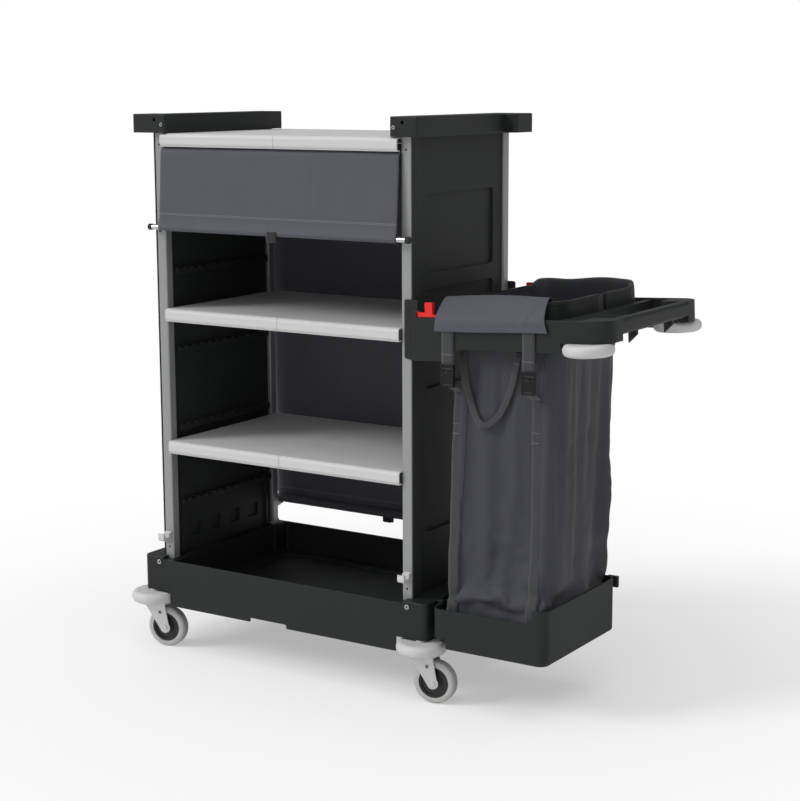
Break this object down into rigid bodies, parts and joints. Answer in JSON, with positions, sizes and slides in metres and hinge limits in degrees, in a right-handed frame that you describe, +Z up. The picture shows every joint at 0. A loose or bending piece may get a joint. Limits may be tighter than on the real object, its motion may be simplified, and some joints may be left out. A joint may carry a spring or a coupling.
{
  "type": "housekeeping cart",
  "caption": "Housekeeping cart with a shelf tower, roller blinds, a deep base tray and a fold-up laundry bag arm and tray on swivel castors.",
  "frame": {"origin": "on the floor, below the middle of the whole cart with its bag arm down", "axes": "+X along the cart from the shelf tower towards the laundry bag, -Y to the front with the raised blind, +Z up"},
  "size_m": [1.309, 0.567, 1.315],
  "materials": {
    "black_plastic": "satin",
    "panel_plastic": "fine texture",
    "shelf_plastic": "satin",
    "post_metal": "anodised",
    "blind_fabric": "woven",
    "bag_fabric": "woven",
    "webbing": "woven",
    "bar_steel": "brushed",
    "fork_steel": "zinc plated",
    "tyre_rubber": "matte",
    "hub_plastic": "gloss",
    "buffer_rubber": "matte",
    "lever_plastic": "gloss",
    "screw_steel": "plain"
  },
  "bodies": {
    "tower": {"base_tray": "black_plastic", "post_front_left": "post_metal", "post_front_right": "post_metal", "post_back_left": "post_metal", "post_back_right": "post_metal", "end_panel_left": "panel_plastic", "end_panel_right": "panel_plastic", "top_shelf_left": "shelf_plastic", "top_shelf_right": "shelf_plastic", "middle_shelf_left": "shelf_plastic", "middle_shelf_right": "shelf_plastic", "lower_shelf_left": "shelf_plastic", "lower_shelf_right": "shelf_plastic", "handle_left": "black_plastic", "handle_right": "black_plastic", "screws": "screw_steel", "castor_stems": "fork_steel", "blind_brackets": "black_plastic", "blind_hooks": "shelf_plastic", "hinge_brackets": "black_plastic"},
    "corner_buffer_front_left": {"buffer_front_left": "buffer_rubber"},
    "castor_front_left": {"castor_fork_front_left": "fork_steel"},
    "wheel_front_left": {"wheel_hub_front_left": "hub_plastic", "wheel_tyre_front_left": "tyre_rubber"},
    "corner_buffer_front_right": {"buffer_front_right": "buffer_rubber"},
    "castor_front_right": {"castor_fork_front_right": "fork_steel"},
    "wheel_front_right": {"wheel_hub_front_right": "hub_plastic", "wheel_tyre_front_right": "tyre_rubber"},
    "corner_buffer_back_left": {"buffer_back_left": "buffer_rubber"},
    "castor_back_left": {"castor_fork_back_left": "fork_steel"},
    "wheel_back_left": {"wheel_hub_back_left": "hub_plastic", "wheel_tyre_back_left": "tyre_rubber"},
    "corner_buffer_back_right": {"buffer_back_right": "buffer_rubber"},
    "castor_back_right": {"castor_fork_back_right": "fork_steel"},
    "wheel_back_right": {"wheel_hub_back_right": "hub_plastic", "wheel_tyre_back_right": "tyre_rubber"},
    "front_blind": {"front_blind_cloth": "blind_fabric", "front_blind_bar": "bar_steel", "front_blind_fittings": "black_plastic"},
    "front_roller": {"front_blind_roller": "post_metal"},
    "back_blind": {"back_blind_cloth": "blind_fabric", "back_blind_bar": "bar_steel", "back_blind_fittings": "black_plastic"},
    "back_roller": {"back_blind_roller": "post_metal"},
    "arm": {"arm_rail_front": "black_plastic", "arm_rail_back": "black_plastic", "arm_push_bar": "black_plastic", "arm_crossbars": "black_plastic", "collar_front": "black_plastic", "collar_back": "black_plastic", "laundry_bag": "bag_fabric", "bag_flap": "bag_fabric", "bag_straps": "webbing", "bag_buckles": "black_plastic", "bag_loop": "webbing"},
    "lever_front": {"latch_front": "lever_plastic"},
    "arm_corner_buffer_front": {"arm_buffer_front": "buffer_rubber"},
    "lever_back": {"latch_back": "lever_plastic"},
    "arm_corner_buffer_back": {"arm_buffer_back": "buffer_rubber"},
    "lower_tray": {"bag_tray": "black_plastic"}
  },
  "joints": [
    {"name": "buffer_turn_front_left", "type": "hinge", "parent": "tower", "child": "corner_buffer_front_left", "pos_m": [-0.59647, -0.2255, 0.127], "axis": [0, 0, 1], "continuous": true},
    {"name": "castor_swivel_front_left", "type": "hinge", "parent": "tower", "child": "castor_front_left", "pos_m": [-0.59647, -0.2255, 0.107], "axis": [0, 0, 1], "continuous": true},
    {"name": "wheel_spin_front_left", "type": "hinge", "parent": "castor_front_left", "child": "wheel_front_left", "pos_m": [-0.56223, -0.21822, 0.05], "axis": [-0.2079, 0.9781, 0], "continuous": true},
    {"name": "buffer_turn_front_right", "type": "hinge", "parent": "tower", "child": "corner_buffer_front_right", "pos_m": [0.18954, -0.2255, 0.127], "axis": [0, 0, 1], "continuous": true},
    {"name": "castor_swivel_front_right", "type": "hinge", "parent": "tower", "child": "castor_front_right", "pos_m": [0.18954, -0.2255, 0.107], "axis": [0, 0, 1], "continuous": true},
    {"name": "wheel_spin_front_right", "type": "hinge", "parent": "castor_front_right", "child": "wheel_front_right", "pos_m": [0.224, -0.21942, 0.05], "axis": [-0.1736, 0.9848, 0], "continuous": true},
    {"name": "buffer_turn_back_left", "type": "hinge", "parent": "tower", "child": "corner_buffer_back_left", "pos_m": [-0.59647, 0.2255, 0.127], "axis": [0, 0, 1], "continuous": true},
    {"name": "castor_swivel_back_left", "type": "hinge", "parent": "tower", "child": "castor_back_left", "pos_m": [-0.59647, 0.2255, 0.107], "axis": [0, 0, 1], "continuous": true},
    {"name": "wheel_spin_back_left", "type": "hinge", "parent": "castor_back_left", "child": "wheel_back_left", "pos_m": [-0.56282, 0.23515, 0.05], "axis": [-0.2756, 0.9613, 0], "continuous": true},
    {"name": "buffer_turn_back_right", "type": "hinge", "parent": "tower", "child": "corner_buffer_back_right", "pos_m": [0.18954, 0.2255, 0.127], "axis": [0, 0, 1], "continuous": true},
    {"name": "castor_swivel_back_right", "type": "hinge", "parent": "tower", "child": "castor_back_right", "pos_m": [0.18954, 0.2255, 0.107], "axis": [0, 0, 1], "continuous": true},
    {"name": "wheel_spin_back_right", "type": "hinge", "parent": "castor_back_right", "child": "wheel_back_right", "pos_m": [0.22427, 0.22976, 0.05], "axis": [-0.1219, 0.9925, 0], "continuous": true},
    {"name": "front_blind_draw", "type": "slide", "parent": "tower", "child": "front_blind", "axis": [0, 0, 1], "range_m": [-0.76, 0.14], "deforming": ["front_blind_cloth"]},
    {"name": "front_roller_turn", "type": "hinge", "parent": "tower", "child": "front_roller", "pos_m": [-0.20347, -0.2115, 1.224], "axis": [1, 0, 0], "range_deg": [-569, 3089]},
    {"name": "back_blind_draw", "type": "slide", "parent": "tower", "child": "back_blind", "axis": [0, 0, 1], "range_m": [0, 0.9], "deforming": ["back_blind_cloth"]},
    {"name": "back_roller_turn", "type": "hinge", "parent": "tower", "child": "back_roller", "pos_m": [-0.20347, 0.2115, 1.224], "axis": [1, 0, 0], "range_deg": [0, 3658]},
    {"name": "arm_fold", "type": "hinge", "parent": "tower", "child": "arm", "pos_m": [0.16853, 0, 0.868], "axis": [0, -1, 0], "range_deg": [0, 55], "deforming": ["laundry_bag", "bag_straps", "bag_buckles", "bag_loop"]},
    {"name": "lever_lift_front", "type": "hinge", "parent": "arm", "child": "lever_front", "pos_m": [0.17964, -0.22975, 0.88657], "axis": [0, -1, 0], "range_deg": [0, 20], "stiffness_Nm_per_rad": 0.2},
    {"name": "arm_buffer_turn_front", "type": "hinge", "parent": "arm", "child": "arm_corner_buffer_front", "pos_m": [0.59947, -0.223, 0.83902], "axis": [-0.0488, 0, 0.9988], "continuous": true},
    {"name": "lever_lift_back", "type": "hinge", "parent": "arm", "child": "lever_back", "pos_m": [0.17964, 0.22975, 0.88657], "axis": [0, -1, 0], "range_deg": [0, 20], "stiffness_Nm_per_rad": 0.2},
    {"name": "arm_buffer_turn_back", "type": "hinge", "parent": "arm", "child": "arm_corner_buffer_back", "pos_m": [0.59947, 0.223, 0.83902], "axis": [-0.0488, 0, 0.9988], "continuous": true},
    {"name": "tray_fold", "type": "hinge", "parent": "tower", "child": "lower_tray", "pos_m": [0.21754, 0, 0.222], "axis": [0, -1, 0], "range_deg": [0, 90]}
  ],
  "couplings": [
    {"joint": "front_roller_turn", "follows": "front_blind_draw", "rad_per_m": -70.922},
    {"joint": "back_roller_turn", "follows": "back_blind_draw", "rad_per_m": 70.922}
  ]
}
